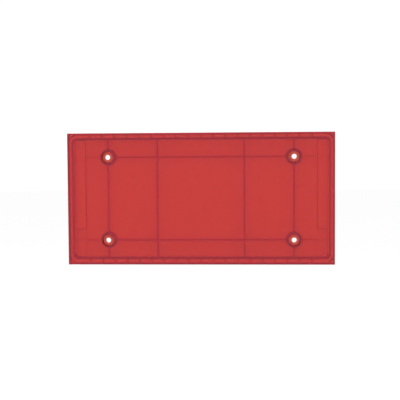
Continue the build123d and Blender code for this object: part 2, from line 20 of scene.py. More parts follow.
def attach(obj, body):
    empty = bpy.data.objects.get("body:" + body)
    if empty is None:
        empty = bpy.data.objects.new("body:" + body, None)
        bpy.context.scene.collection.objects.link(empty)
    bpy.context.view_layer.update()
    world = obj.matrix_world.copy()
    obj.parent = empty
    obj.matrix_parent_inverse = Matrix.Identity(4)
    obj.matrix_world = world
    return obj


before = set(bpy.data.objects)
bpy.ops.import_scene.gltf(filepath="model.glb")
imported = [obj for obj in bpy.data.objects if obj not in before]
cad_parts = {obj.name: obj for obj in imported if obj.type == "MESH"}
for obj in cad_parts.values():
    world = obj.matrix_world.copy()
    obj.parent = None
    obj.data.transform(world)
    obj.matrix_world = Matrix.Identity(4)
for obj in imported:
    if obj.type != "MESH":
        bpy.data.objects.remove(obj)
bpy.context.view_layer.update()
MM = 0.001
LOG = logging.getLogger("horn_strobe")
Colour = tuple[float, float, float]
Socket = bpy.types.NodeSocket


def srgb(red: int, green: int, blue: int) -> Colour:
    """Turns an 8-bit screen colour into the linear values that a shader takes.

    Args:
        red: Red, 0 to 255.
        green: Green, 0 to 255.
        blue: Blue, 0 to 255.

    Returns:
        The linear red, green and blue.
    """
    linear = []
    for value in (red, green, blue):
        part = value / 255
        linear.append(part / 12.92 if part <= 0.04045 else ((part + 0.055) / 1.055) ** 2.4)
    return (linear[0], linear[1], linear[2])


def shade(colour: Colour, factor: float) -> Colour:
    """The colour made lighter or darker by the factor."""
    return (min(colour[0] * factor, 1.0), min(colour[1] * factor, 1.0), min(colour[2] * factor, 1.0))


# ---- materials ----------------------------------------------------------------------------------
class Shader:
    """A material being built: its node tree, and short calls for the nodes that the finishes share."""

    def __init__(self, name: str) -> None:
        """Starts a material with one Principled shader.

        Args:
            name: The material's name.
        """
        self.material = bpy.data.materials.new(name)
        self.material.use_nodes = True
        self.tree = self.material.node_tree
        self.surface = self.tree.nodes["Principled BSDF"]
        self.output = self.tree.nodes["Material Output"]
        self.place = self.tree.nodes.new("ShaderNodeTexCoord").outputs["Object"]

    def put(self, socket: str, value: float | tuple) -> None:
        """Sets a plain value on one of the shader's sockets.

        Args:
            socket: The socket's name.
            value: A number or a linear colour.
        """
        target = self.surface.inputs[socket]
        if isinstance(value, tuple) and len(value) == 3 and target.type == "RGBA":
            value = (*value, 1.0)
        target.default_value = value

    def feed(self, socket: str, source: Socket) -> None:
        """Links a source to one of the shader's sockets."""
        self.tree.links.new(source, self.surface.inputs[socket])

    def folded(self) -> Socket:
        """Object coordinates without their signs."""
        node = self.tree.nodes.new("ShaderNodeVectorMath")
        node.operation = "ABSOLUTE"
        self.tree.links.new(self.place, node.inputs[0])
        return node.outputs["Vector"]

    def stretched(self, stretch: Colour) -> Socket:
        """Object coordinates multiplied along each axis by stretch."""
        node = self.tree.nodes.new("ShaderNodeMapping")
        node.inputs["Scale"].default_value = stretch
        self.tree.links.new(self.place, node.inputs["Vector"])
        return node.outputs["Vector"]

    def noise(self, size_mm: float, detail: float = 2.0, stretch: Colour | None = None) -> Socket:
        """A smooth noise.

        Args:
            size_mm: The size of its blotches.
            detail: How many finer layers lie on it.
            stretch: Factors along X, Y and Z, for streaks.

        Returns:
            The noise's value, about 0.5 on average.
        """
        node = self.tree.nodes.new("ShaderNodeTexNoise")
        node.inputs["Scale"].default_value = 1.0 / (size_mm * MM)
        node.inputs["Detail"].default_value = detail
        self.tree.links.new(self.stretched(stretch) if stretch else self.place, node.inputs["Vector"])
        return node.outputs["Fac"]

    def cells(self, size_mm: float, feature: str = "F1", stretch: Colour | None = None) -> Socket:
        """The distance pattern of a cell texture.

        Args:
            size_mm: The size of its cells.
            feature: F1, or DISTANCE_TO_EDGE for the lines between cells.
            stretch: Factors along X, Y and Z.

        Returns:
            The distance, in cells.
        """
        node = self.tree.nodes.new("ShaderNodeTexVoronoi")
        node.feature = feature
        node.inputs["Scale"].default_value = 1.0 / (size_mm * MM)
        self.tree.links.new(self.stretched(stretch) if stretch else self.place, node.inputs["Vector"])
        return node.outputs["Distance"]

    def span(self, source: Socket, start: float, end: float, low: float, high: float) -> Socket:
        """Maps start..end of the source to low..high, and holds it there.

        Args:
            source: The value to map.
            start: The source value that gives low.
            end: The source value that gives high.
            low: The first result.
            high: The second result.

        Returns:
            The mapped value's socket.
        """
        node = self.tree.nodes.new("ShaderNodeMapRange")
        for socket, value in (("From Min", start), ("From Max", end), ("To Min", low), ("To Max", high)):
            node.inputs[socket].default_value = value
        self.tree.links.new(source, node.inputs["Value"])
        return node.outputs["Result"]

    def sum(self, first: Socket, second: Socket, weight: float) -> Socket:
        """first plus weight times second."""
        node = self.tree.nodes.new("ShaderNodeMath")
        node.operation = "MULTIPLY_ADD"
        node.inputs[1].default_value = weight
        self.tree.links.new(second, node.inputs[0])
        self.tree.links.new(first, node.inputs[2])
        return node.outputs["Value"]

    def blend(
        self, factor: Socket, first: Colour | Socket, second: Colour
    ) -> Socket:
        """A colour between first and second.

        Args:
            factor: 0 gives first and 1 gives second.
            first: A linear colour, or a socket that gives one.
            second: A linear colour.

        Returns:
            The colour's socket.
        """
        node = self.tree.nodes.new("ShaderNodeMix")
        node.data_type = "RGBA"
        if isinstance(first, Socket):
            self.tree.links.new(first, node.inputs["A"])
        else:
            node.inputs["A"].default_value = (*first, 1.0)
        node.inputs["B"].default_value = (*second, 1.0)
        self.tree.links.new(factor, node.inputs["Factor"])
        return node.outputs["Result"]

    def bump(self, height: Socket, depth_mm: float, strength: float = 1.0) -> None:
        """Gives the surface a fine relief.

        Args:
            height: The relief, 0 to 1.
            depth_mm: The height that 1 stands for.
            strength: How much of it shows.
        """
        node = self.tree.nodes.new("ShaderNodeBump")
        node.inputs["Distance"].default_value = depth_mm * MM
        node.inputs["Strength"].default_value = strength
        self.tree.links.new(height, node.inputs["Height"])
        self.feed("Normal", node.outputs["Normal"])


@dataclass(frozen=True)
class Finish:
    """What every finish has: a name, a colour and a roughness."""

    name: str
    colour: Colour
    roughness: float

    def material(self) -> bpy.types.Material:
        """Makes the material on its first call.

        Returns:
            The finish's one material.
        """
        made = bpy.data.materials.get(self.name)
        if made is None:
            shader = Shader(self.name)
            shader.put("Base Color", self.colour)
            shader.put("Roughness", self.roughness)
            self.shape(shader)
            made = shader.material
        return made

    def shape(self, shader: Shader) -> None:
        """Adds the finish's own detail to the shader."""
        raise NotImplementedError


@dataclass(frozen=True)
class Moulded(Finish):
    """Opaque moulded plastic or rubber with a spark-eroded grain, flow marks and rubbed patches."""

    grain_mm: float = 0.35
    depth_mm: float = 0.02
    mottle: float = 0.06
    scuff: float = 0.12

    def shape(self, shader: Shader) -> None:
        """Adds mottling, grain and scuffs.

        Args:
            shader: The material being built.
        """
        flow = shader.noise(14.0, 3.0, (1.0, 1.0, 0.35))
        patches = shader.noise(5.0, 5.0)
        tone = shader.span(shader.sum(flow, patches, 0.6), 0.55, 1.05, 0.0, 1.0)
        shader.feed(
            "Base Color",
            shader.blend(tone, shade(self.colour, 1 - self.mottle), shade(self.colour, 1 + self.mottle)),
        )
        rubbed = shader.span(shader.noise(9.0, 6.0, (0.5, 1.0, 1.6)), 0.5, 0.72, 0.0, 1.0)
        gloss = shader.span(rubbed, 0.0, 1.0, self.roughness, max(self.roughness - self.scuff, 0.05))
        shader.feed("Roughness", gloss)
        grain = shader.sum(shader.cells(self.grain_mm), shader.noise(self.grain_mm * 0.6, 2.0), 0.8)
        shader.bump(grain, self.depth_mm, 0.7)


@dataclass(frozen=True)
class ClearMoulding(Finish):
    """Clear tinted plastic that darkens with thickness, polished, with faint waves, dust and hairlines.

    Its colour is that of the little light that the resin itself scatters. The outer side walls and the floors
    of the screw cups are matt, which their own cloud stands for. The side walls' darker red is painted shade,
    and the cup floors' lighter orange is painted light that stands in for light shining through them.
    """

    cloud: float = 0.25
    side_cloud: float = 0.95
    # painted shade: this darker red on the outer side walls stands in for the shade along the cover's edges
    side_shade_colour: Colour = (0.3, 0.01, 0.016)
    side_x_mm: float = 107.85
    side_z_mm: float = 53.25
    side_fade_mm: float = 0.04
    cup_cloud: float = 0.9
    # painted light: the cup floors' lighter orange stands in for light shining through the thin floors
    cup_colour: Colour = (0.64, 0.095, 0.055)
    cup_x_mm: float = 75.6
    cup_z_mm: float = 33.8
    cup_radius_mm: float = 4.15
    cup_fade_mm: float = 0.1
    ior: float = 1.5
    absorbed: Colour = (80.0, 480.0, 1400.0)  # per metre
    wave_mm: float = 0.004

    def shape(self, shader: Shader) -> None:
        """Adds the see-through share, the absorption and the surface marks.

        Args:
            shader: The material being built.
        """
        shader.put("IOR", self.ior)
        side, cup = self.side(shader), self.cup(shader)
        cloud = shader.span(side, 0.0, 1.0, self.cloud, self.side_cloud)
        shader.feed("Alpha", shader.sum(cloud, cup, self.cup_cloud - self.cloud))
        # painted shade: the side walls take the darker side colour
        body = shader.blend(side, self.colour, self.side_shade_colour)
        # painted light: the cup floors take a lighter orange that stands in for light shining through them
        shader.feed("Base Color", shader.blend(cup, body, self.cup_colour))
        density = max(self.absorbed)
        volume = shader.tree.nodes.new("ShaderNodeVolumeAbsorption")
        volume.inputs["Density"].default_value = density
        volume.inputs["Color"].default_value = (*(1.0 - part / density for part in self.absorbed), 1.0)
        shader.tree.links.new(volume.outputs["Volume"], shader.output.inputs["Volume"])
        haze = shader.span(shader.noise(22.0, 4.0), 0.4, 0.7, self.roughness, self.roughness + 0.03)
        dust = shader.span(shader.cells(3.1), 0.03, 0.06, 0.12, 0.0)
        shader.feed("Roughness", shader.sum(haze, dust, 1.0))
        wave = shader.noise(16.0, 1.0)
        hair = shader.span(shader.cells(21.0, "DISTANCE_TO_EDGE", (0.35, 1.0, 1.0)), 0.0, 0.0025, 0.0, 1.0)
        shader.bump(shader.sum(wave, hair, 0.12), self.wave_mm, 0.6)

    def side(self, shader: Shader) -> Socket:
        """The mask of the matt outer side walls, which also places their painted shade.

        Args:
            shader: The material being built.

        Returns:
            1 on the side walls and 0 elsewhere.
        """
        split = shader.tree.nodes.new("ShaderNodeSeparateXYZ")
        shader.tree.links.new(shader.folded(), split.inputs["Vector"])
        shares = []
        for axis, reach_mm in (("X", self.side_x_mm), ("Z", self.side_z_mm)):
            start = reach_mm * MM
            shares.append(shader.span(split.outputs[axis], start, start + self.side_fade_mm * MM, 0.0, 1.0))
        larger = shader.tree.nodes.new("ShaderNodeMath")
        larger.operation = "MAXIMUM"
        for number, share in enumerate(shares):
            shader.tree.links.new(share, larger.inputs[number])
        return larger.outputs["Value"]

    def cup(self, shader: Shader) -> Socket:
        """The mask of the four screw cups' matt floors, which also places their painted light.

        Args:
            shader: The material being built.

        Returns:
            1 on the floors and on the walls of the holes in them, and 0 elsewhere.
        """
        flat = shader.tree.nodes.new("ShaderNodeVectorMath")
        flat.operation = "MULTIPLY"
        flat.inputs[1].default_value = (1.0, 0.0, 1.0)
        shader.tree.links.new(shader.folded(), flat.inputs[0])
        away = shader.tree.nodes.new("ShaderNodeVectorMath")
        away.operation = "DISTANCE"
        away.inputs[1].default_value = (self.cup_x_mm * MM, 0.0, self.cup_z_mm * MM)
        shader.tree.links.new(flat.outputs["Vector"], away.inputs[0])
        edge = self.cup_radius_mm * MM
        return shader.span(away.outputs["Value"], edge - self.cup_fade_mm * MM, edge, 1.0, 0.0)


@dataclass(frozen=True)
class Opal(Finish):
    """Milky acrylic with a fine printed dot grid."""

    dot_mm: float = 1.6

    def shape(self, shader: Shader) -> None:
        """Adds the dots and a soft sheen.

        Args:
            shader: The material being built.
        """
        dots = shader.span(shader.cells(self.dot_mm), 0.16, 0.24, 0.0, 1.0)
        shader.feed("Base Color", shader.blend(dots, shade(self.colour, 1.05), self.colour))
        rough = shader.span(shader.noise(8.0, 3.0), 0.3, 0.7, self.roughness, self.roughness + 0.12)
        shader.feed("Roughness", rough)
        shader.bump(shader.noise(0.6, 2.0), 0.004, 0.4)


@dataclass(frozen=True)
class Sheet(Finish):
    """Thin film or foil with shallow creases."""

    metallic: float = 0.0
    crease_mm: float = 0.02

    def shape(self, shader: Shader) -> None:
        """Adds creases and a faint grain.

        Args:
            shader: The material being built.
        """
        shader.put("Metallic", self.metallic)
        creases = shader.span(shader.cells(7.0, "DISTANCE_TO_EDGE"), 0.0, 0.05, 1.0, 0.0)
        tone = shader.noise(3.0, 4.0)
        shader.feed("Base Color", shader.blend(tone, shade(self.colour, 0.94), shade(self.colour, 1.04)))
        shader.feed("Roughness", shader.span(tone, 0.3, 0.7, self.roughness * 0.8, self.roughness * 1.25))
        shader.bump(shader.sum(shader.noise(2.0, 3.0), creases, 0.5), self.crease_mm, 0.5)


class Lay(Enum):
    """The way that a metal's fine marks run."""

    ALONG_X = (0.06, 1.0, 1.0)
    ALONG_Z = (1.0, 1.0, 0.06)
    NONE = (1.0, 1.0, 1.0)


@dataclass(frozen=True)
class Metal(Finish):
    """Plated, stamped or soldered metal, with fine marks and a little tarnish."""

    lay: Lay = Lay.NONE
    tarnish: float = 0.18

    def shape(self, shader: Shader) -> None:
        """Adds the marks and the tarnish.

        Args:
            shader: The material being built.
        """
        shader.put("Metallic", 1.0)
        stain = shader.span(shader.noise(2.5, 5.0), 0.45, 0.75, 0.0, 1.0)
        shader.feed("Base Color", shader.blend(stain, self.colour, shade(self.colour, 1 - self.tarnish)))
        marks = shader.noise(0.25, 3.0, self.lay.value)
        shader.feed("Roughness", shader.span(marks, 0.3, 0.7, self.roughness * 0.75, self.roughness * 1.35))
        shader.bump(marks, 0.006, 0.5)


@dataclass(frozen=True)
class SolderMask(Finish):
    """A circuit board: lacquer over copper tracks, with the glass weave faintly in it."""

    track_mm: float = 2.6

    def shape(self, shader: Shader) -> None:
        """Adds the tracks under the lacquer and the weave.

        Args:
            shader: The material being built.
        """
        tracks = shader.tree.nodes.new("ShaderNodeTexBrick")
        tracks.offset = 0.5
        tracks.squash = 2.4
        tracks.squash_frequency = 3
        for socket, value in (("Scale", 1.0), ("Mortar Size", 0.00032), ("Mortar Smooth", 0.15)):
            tracks.inputs[socket].default_value = value
        tracks.inputs["Brick Width"].default_value = self.track_mm * 4.2 * MM
        tracks.inputs["Row Height"].default_value = self.track_mm * MM
        turned = shader.tree.nodes.new("ShaderNodeMapping")
        turned.inputs["Rotation"].default_value = (math.radians(90), 0.0, 0.0)
        shader.tree.links.new(shader.place, turned.inputs["Vector"])
        shader.tree.links.new(turned.outputs["Vector"], tracks.inputs["Vector"])
        weave = shader.noise(0.5, 2.0, (1.0, 1.0, 3.0))
        copper = shader.span(tracks.outputs["Fac"], 0.2, 0.8, 0.0, 1.0)
        shader.feed("Base Color", shader.blend(copper, self.colour, shade(self.colour, 1.7)))
        shader.feed("Roughness", shader.span(weave, 0.3, 0.7, self.roughness, self.roughness + 0.12))
        shader.bump(shader.sum(weave, copper, 1.5), 0.018, 0.5)


@dataclass(frozen=True)
class Foam(Finish):
    """Closed-cell foam with open cut cells at its surface."""

    cell_mm: float = 0.5

    def shape(self, shader: Shader) -> None:
        """Adds the cells, with painted shade in their pits and painted highlights on their rims.

        Args:
            shader: The material being built.
        """
        cells = shader.cells(self.cell_mm)
        # painted shade and highlight: the colour is darker in the pits of the cells and lighter on their rims
        shader.feed("Base Color", shader.blend(cells, shade(self.colour, 0.5), shade(self.colour, 1.8)))
        rough = shader.span(shader.noise(4.0, 3.0), 0.3, 0.7, self.roughness - 0.08, self.roughness)
        shader.feed("Roughness", rough)
        shader.bump(cells, 0.25, 0.9)


RED_ABS = Moulded("red_abs", srgb(196, 44, 44), 0.46, grain_mm=0.45, depth_mm=0.03)
CLEAR_RED = ClearMoulding("clear_red_polycarbonate", (0.85, 0.09, 0.14), 0.03)
OPAL_GUIDE = Opal("opal_acrylic", (0.86, 0.86, 0.86), 0.25)
WHITE_FILM = Sheet("white_reflector_film", (0.82, 0.82, 0.80), 0.45)
EDGE_FOIL = Sheet("edge_foil", (0.80, 0.74, 0.45), 0.35, metallic=0.6)
SILICONE = Moulded("white_silicone", (0.9, 0.89, 0.87), 0.5, grain_mm=0.8, depth_mm=0.008, mottle=0.04)
BLACK_FOAM = Foam("black_foam", (0.012, 0.012, 0.013), 0.9)
BLACK_RUBBER = Moulded("black_rubber", (0.014, 0.014, 0.014), 0.6, grain_mm=0.6, depth_mm=0.015, mottle=0.2)
WHITE_ABS = Moulded("white_abs", (0.9, 0.9, 0.88), 0.42, grain_mm=0.4, depth_mm=0.012, mottle=0.03)
BLACK_NYLON = Moulded("black_nylon", (0.016, 0.016, 0.017), 0.5, grain_mm=0.5, depth_mm=0.02, mottle=0.15)
BLACK_EPOXY = Moulded("black_epoxy", (0.012, 0.012, 0.013), 0.38, grain_mm=0.2, depth_mm=0.01, mottle=0.2)
CREAM_NYLON = Moulded("cream_nylon", srgb(226, 216, 190), 0.45, grain_mm=0.5, depth_mm=0.01)
GREEN_PBT = Moulded("green_pbt", srgb(44, 112, 66), 0.42, grain_mm=0.5, depth_mm=0.01)
BLUE_PBT = Moulded("blue_pbt", srgb(34, 66, 142), 0.4, grain_mm=0.5, depth_mm=0.01)
FERRITE = Moulded("ferrite", (0.028, 0.027, 0.027), 0.62, grain_mm=0.25, depth_mm=0.02, mottle=0.25)
SLEEVE = Moulded("capacitor_sleeve", (0.012, 0.016, 0.03), 0.24, grain_mm=2.0, depth_mm=0.01, mottle=0.15)
CHIP_CERAMIC = Moulded("chip_ceramic", srgb(150, 124, 92), 0.5, grain_mm=0.15, depth_mm=0.004, mottle=0.15)
SILVERED = Metal("silvered_ceramic", (0.62, 0.62, 0.60), 0.5, tarnish=0.25)
GREEN_MASK = SolderMask("green_solder_mask", srgb(18, 84, 48), 0.28)
WHITE_MASK = SolderMask("white_solder_mask", (0.70, 0.71, 0.68), 0.35, track_mm=2.0)
LED_CASE = Moulded("led_case", (0.76, 0.75, 0.72), 0.35, grain_mm=0.3, depth_mm=0.004, mottle=0.03)
ZINC = Metal("zinc_plated_steel", (0.62, 0.62, 0.63), 0.32, lay=Lay.ALONG_X)
NICKEL = Metal("nickel_plated_steel", (0.66, 0.64, 0.60), 0.28, lay=Lay.ALONG_Z)
BRASS = Metal("brass", (0.62, 0.44, 0.17), 0.3, lay=Lay.ALONG_X, tarnish=0.3)
SOLDER = Metal("solder", (0.66, 0.67, 0.68), 0.22)
RED_LEAD = Moulded("red_insulation", srgb(170, 24, 24), 0.38, grain_mm=0.8, depth_mm=0.01)
BLACK_LEAD = Moulded("black_insulation", (0.012, 0.012, 0.012), 0.38, grain_mm=0.8, depth_mm=0.01)
WHITE_LEAD = Moulded("white_insulation", (0.72, 0.72, 0.70), 0.38, grain_mm=0.8, depth_mm=0.01)
PHOSPHOR = Moulded("phosphor", (0.86, 0.66, 0.10), 0.3, grain_mm=0.12, depth_mm=0.004, mottle=0.08)
WHITE_INK = Moulded("white_ink", (0.80, 0.80, 0.78), 0.55, grain_mm=0.2, depth_mm=0.002, mottle=0.05)
GOLD = Metal("gold_plating", (0.80, 0.58, 0.22), 0.25, tarnish=0.1)
TIN = Metal("tinned_copper", (0.68, 0.68, 0.67), 0.3)
ALUMINIUM = Metal("aluminium", (0.74, 0.75, 0.76), 0.36, lay=Lay.ALONG_Z)
GAUZE = Moulded("polyester_gauze", (0.02, 0.02, 0.022), 0.6, grain_mm=0.1, depth_mm=0.003, mottle=0.2)


# ---- repeated pieces ----------------------------------------------------------------------------
CORNER_STEPS = 3  # points on each round corner of a pad
SAME_POINT = 1e-7  # metres
GAUZE_THREAD = 0.12  # thickness
BACK_SUNK = 0.02  # how deep the middles of the marks on the back lie


class Facing(Enum):
    """Which way a repeated shape's own up points, as Euler angles in degrees."""

    FRONT = (90, 0, 0)
    BACK = (-90, 0, 0)
    UP = (0, 0, 0)
    LEFT = (0, -90, 0)
    RIGHT = (0, 90, 0)


@dataclass(frozen=True)
class Place:
    """Where one repeated shape stands: x, distance from the wall and z in millimetres, and its turn."""

    x: float
    distance: float
    z: float
    facing: Facing = Facing.FRONT
    turn: float = 0.0  # degrees about its own up
    stretch: float = 1.0  # along its own x

    def rotation(self) -> tuple[float, float, float]:
        """The Euler angles in radians."""
        turned = Euler([math.radians(angle) for angle in self.facing.value]).to_matrix()
        return tuple((turned @ Matrix.Rotation(math.radians(self.turn), 3, "Z")).to_euler())

    def position(self) -> tuple[float, float, float]:
        """The place in metres."""
        return (self.x * MM, -self.distance * MM, self.z * MM)


class Tree:
    """A Geometry Nodes tree being built, with named inputs for its sizes."""

    def __init__(self, name: str) -> None:
        """Starts a tree with a points input and a geometry output."""
        self.group = bpy.data.node_groups.new(name, "GeometryNodeTree")
        self.group.interface.new_socket("Points", in_out="INPUT", socket_type="NodeSocketGeometry")
        self.group.interface.new_socket("Result", in_out="OUTPUT", socket_type="NodeSocketGeometry")
        self.start = self.group.nodes.new("NodeGroupInput")
        self.end = self.group.nodes.new("NodeGroupOutput")

    def size(self, name: str) -> Socket:
        """Adds a named length input and gives its socket."""
        self.group.interface.new_socket(name, in_out="INPUT", socket_type="NodeSocketFloat")
        return self.start.outputs[name]

    def add(self, kind: str, **inputs: object) -> bpy.types.Node:
        """Adds a node.

        Args:
            kind: The node's type.
            inputs: Sockets to link or values to set, by name; an underscore in front marks a node property.

        Returns:
            The node.
        """
        node = self.group.nodes.new(kind)
        for name, value in inputs.items():
            if name.startswith("_"):
                setattr(node, name[1:], value)
        for name, value in inputs.items():
            if name.startswith("_"):
                continue
            target = node.inputs[name.replace("_", " ")]
            if isinstance(value, Socket):
                self.group.links.new(value, target)
            else:
                target.default_value = value
        return node

    def vector(self, x: Socket | float = 0.0, y: Socket | float = 0.0, z: Socket | float = 0.0) -> Socket:
        """A vector of sockets or values."""
        return self.add("ShaderNodeCombineXYZ", X=x, Y=y, Z=z).outputs[0]

    def times(self, source: Socket, factor: float) -> Socket:
        """The source multiplied by the factor.

        Args:
            source: A length or a share.
            factor: What it is multiplied by.

        Returns:
            The product's socket.
        """
        node = self.add("ShaderNodeMath", _operation="MULTIPLY")
        self.group.links.new(source, node.inputs[0])
        node.inputs[1].default_value = factor
        return node.outputs[0]

    def sweep(self, path: Socket, profile: Socket) -> Socket:
        """The profile swept along the path, with closed ends."""
        return self.add("GeometryNodeCurveToMesh", Curve=path, Profile_Curve=profile, Fill_Caps=True).outputs[0]

    def circle(self, radius: Socket, steps: int) -> Socket:
        """A closed circle."""
        return self.add("GeometryNodeCurvePrimitiveCircle", Radius=radius, Resolution=steps).outputs[0]

    def rectangle(self, width: Socket, height: Socket) -> Socket:
        """A closed rectangle."""
        return self.add("GeometryNodeCurvePrimitiveQuadrilateral", Width=width, Height=height).outputs[0]

    def finish(self, shape: Socket, material: bpy.types.Material, smooth: bool) -> None:
        """Sets the shape on every point, turned and stretched as the attributes say, and ends the tree.

        Args:
            shape: The geometry that repeats.
            material: What it is made of.
            smooth: Whether its faces are shaded as one curve.
        """
        turn = self.add("GeometryNodeInputNamedAttribute", _data_type="FLOAT_VECTOR", Name="turn").outputs[0]
        rotation = self.add("FunctionNodeEulerToRotation", Euler=turn).outputs[0]
        stretch = self.add(
            "GeometryNodeInputNamedAttribute", _data_type="FLOAT_VECTOR", Name="stretch"
        ).outputs[0]
        spread = self.add(
            "GeometryNodeInstanceOnPoints",
            Points=self.start.outputs["Points"],
            Instance=shape,
            Rotation=rotation,
            Scale=stretch,
        )
        plain = self.add("GeometryNodeRealizeInstances", Geometry=spread.outputs[0])
        shaded = self.add("GeometryNodeSetShadeSmooth", Geometry=plain.outputs[0], Shade_Smooth=smooth)
        painted = self.add("GeometryNodeSetMaterial", Geometry=shaded.outputs[0], Material=material)
        self.group.links.new(painted.outputs[0], self.end.inputs[0])


@dataclass(frozen=True)
class Recipe:
    """A small shape that repeats; the fields of its subclasses are its sizes in millimetres."""

    smooth: ClassVar[bool] = False

    def grow(self, tree: Tree, sizes: dict[str, Socket]) -> Socket:
        """Builds the shape, its up along Z, and gives its geometry."""
        raise NotImplementedError

    def spread(self, name: str, places: list[Place], finish: Finish, body: str, slot: str) -> bpy.types.Object:
        """Sets the shape on every place as one plain piece that moves with a body.

        Args:
            name: The piece's name.
            places: Where the shapes stand.
            finish: The piece's finish.
            body: The CAD body that it rides.
            slot: The record's material slot; not used.

        Returns:
            The piece.
        """
        points = bpy.data.meshes.new(name + "_points")
        points.from_pydata([place.position() for place in places], [], [])
        turns = [place.rotation() for place in places]
        stretches = [(place.stretch, 1.0, 1.0) for place in places]
        for word, values in (("turn", turns), ("stretch", stretches)):
            points.attributes.new(word, "FLOAT_VECTOR", "POINT")
            points.attributes[word].data.foreach_set("vector", [part for value in values for part in value])
        source = bpy.data.objects.new(name + "_source", points)
        bpy.context.collection.objects.link(source)
        tree = Tree(name + "_tree")
        sizes = {item.name: tree.size(item.name) for item in fields(self)}
        tree.finish(self.grow(tree, sizes), finish.material(), self.smooth)
        modifier = source.modifiers.new("repeat", "NODES")
        modifier.node_group = tree.group
        for item in tree.group.interface.items_tree:
            if item.in_out == "INPUT" and item.name in sizes:
                modifier[item.identifier] = getattr(self, item.name) * MM
        mesh = bpy.data.meshes.new_from_object(source.evaluated_get(bpy.context.evaluated_depsgraph_get()))
        bpy.data.objects.remove(source)
        mesh.name = name
        piece = bpy.data.objects.new(name, mesh)
        bpy.context.collection.objects.link(piece)
        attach(piece, body)
        LOG.info("made %s: %d shapes, %d faces", name, len(places), len(mesh.polygons))
        return piece


@dataclass(frozen=True)
class Dome(Recipe):
    """A low round dome."""

    radius: float
    height: float
    smooth: ClassVar[bool] = True

    def grow(self, tree: Tree, sizes: dict[str, Socket]) -> Socket:
        """A flattened ball.

        Args:
            tree: The tree being built.
            sizes: The sockets of the recipe's sizes.

        Returns:
            The shape's geometry.
        """
        ball = tree.add("GeometryNodeMeshUVSphere", Segments=20, Rings=10, Radius=1.0)
        scale = tree.vector(sizes["radius"], sizes["radius"], sizes["height"])
        return tree.add("GeometryNodeTransform", Geometry=ball.outputs[0], Scale=scale).outputs[0]


@dataclass(frozen=True)
class Ring(Recipe):
    """A round line."""

    radius: float
    line: float
    smooth: ClassVar[bool] = True

    def grow(self, tree: Tree, sizes: dict[str, Socket]) -> Socket:
        """A circle swept along a circle."""
        return tree.sweep(tree.circle(sizes["radius"], 32), tree.circle(sizes["line"], 8))


@dataclass(frozen=True)
class Pad(Recipe):
    """A thin plate with round corners."""

    width: float
    height: float
    corner: float
    thickness: float

    def grow(self, tree: Tree, sizes: dict[str, Socket]) -> Socket:
        """A filled rounded rectangle, thickened.

        Args:
            tree: The tree being built.
            sizes: The sockets of the recipe's sizes.

        Returns:
            The shape's geometry.
        """
        outline = tree.rectangle(sizes["width"], sizes["height"])
        rounded = tree.add(
            "GeometryNodeFilletCurve", _mode="POLY", Curve=outline, Radius=sizes["corner"], Count=CORNER_STEPS
        )
        face = tree.add("GeometryNodeFillCurve", Curve=rounded.outputs[0]).outputs[0]
        solid = tree.add("GeometryNodeExtrudeMesh", Mesh=face, Offset_Scale=sizes["thickness"], Individual=False)
        back = tree.add("GeometryNodeFlipFaces", Mesh=face).outputs[0]
        both = tree.add("GeometryNodeJoinGeometry")
        for part in (solid.outputs[0], back):
            tree.group.links.new(part, both.inputs[0])
        return tree.add("GeometryNodeMergeByDistance", Geometry=both.outputs[0], Distance=SAME_POINT).outputs[0]


@dataclass(frozen=True)
class Outline(Recipe):
    """A rectangle drawn as a flat line."""

    width: float
    height: float
    line: float
    thickness: float

    def grow(self, tree: Tree, sizes: dict[str, Socket]) -> Socket:
        """A flat bar swept along a rectangle."""
        path = tree.rectangle(sizes["width"], sizes["height"])
        return tree.sweep(path, tree.rectangle(sizes["line"], sizes["thickness"]))


@dataclass(frozen=True)
class Leg(Recipe):
    """A gull-wing leg that runs out along X and down to the board."""

    run: float
    drop: float
    width: float
    thickness: float

    def grow(self, tree: Tree, sizes: dict[str, Socket]) -> Socket:
        """A flat bar swept along an S.

        Args:
            tree: The tree being built.
            sizes: The sockets of the recipe's sizes.

        Returns:
            The shape's geometry.
        """
        path = tree.add(
            "GeometryNodeCurvePrimitiveBezierSegment",
            Resolution=10,
            Start=tree.vector(z=sizes["drop"]),
            Start_Handle=tree.vector(x=tree.times(sizes["run"], 0.6), z=sizes["drop"]),
            End_Handle=tree.vector(x=tree.times(sizes["run"], 0.35)),
            End=tree.vector(x=sizes["run"]),
        )
        return tree.sweep(path.outputs[0], tree.rectangle(sizes["width"], sizes["thickness"]))


@dataclass(frozen=True)
class Thread(Recipe):
    """A straight thread along X, centred."""

    length: float
    radius: float
    smooth: ClassVar[bool] = True

    def grow(self, tree: Tree, sizes: dict[str, Socket]) -> Socket:
        """A thin round bar.

        Args:
            tree: The tree being built.
            sizes: The sockets of the recipe's sizes.

        Returns:
            The shape's geometry.
        """
        start, end = (tree.vector(x=tree.times(sizes["length"], share)) for share in (-0.5, 0.5))
        line = tree.add("GeometryNodeCurvePrimitiveLine", Start=start, End=end).outputs[0]
        return tree.sweep(line, tree.circle(sizes["radius"], 6))


